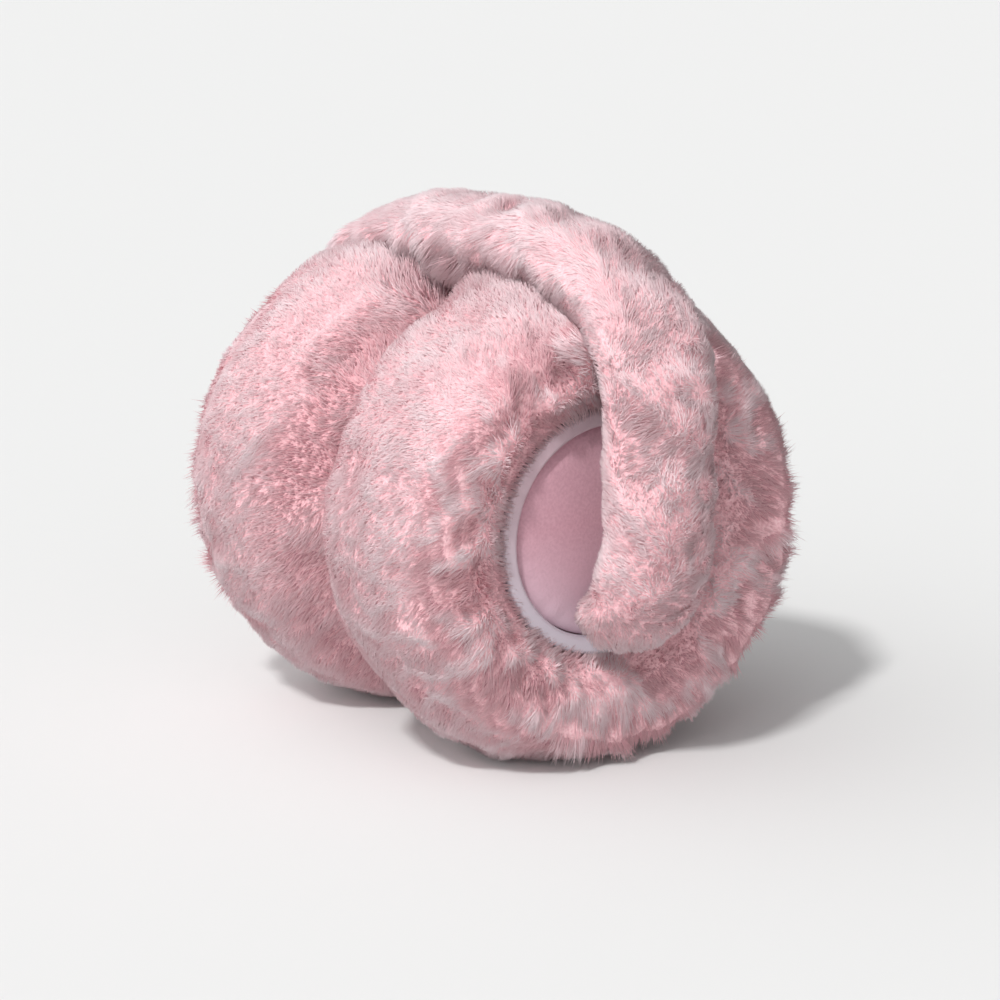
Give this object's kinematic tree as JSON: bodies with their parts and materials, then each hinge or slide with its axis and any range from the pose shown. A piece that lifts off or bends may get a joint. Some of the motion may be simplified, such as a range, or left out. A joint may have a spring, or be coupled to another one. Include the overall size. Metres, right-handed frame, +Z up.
{
  "type": "folded fur earmuffs",
  "caption": "Two deep-pile round ear cups with smooth ear pads, folded back to back under an arched fur headband.",
  "frame": {"origin": "on the surface it stands on, midway between the two cups", "axes": "+Z up, +X along the common axis of the cups and out of the right cup's ear side, +Y across the headband"},
  "size_m": [0.1661, 0.1208, 0.1329],
  "materials": {
    "cup_fur": "deep soft faux-fur pile",
    "band_fur": "soft faux-fur pile",
    "rim": "smooth pale lilac binding",
    "ear_pad": "smooth brushed dusty pink cloth",
    "hinge_tab": "plain woven tab"
  },
  "bodies": {
    "root": {"headband_fur": "band_fur", "right_cup_fur": "cup_fur", "right_cup_rim": "rim", "right_ear_pad": "ear_pad", "right_hinge_tab": "hinge_tab", "left_cup_fur": "cup_fur", "left_cup_rim": "rim", "left_ear_pad": "ear_pad", "left_hinge_tab": "hinge_tab"}
  },
  "joints": []
}
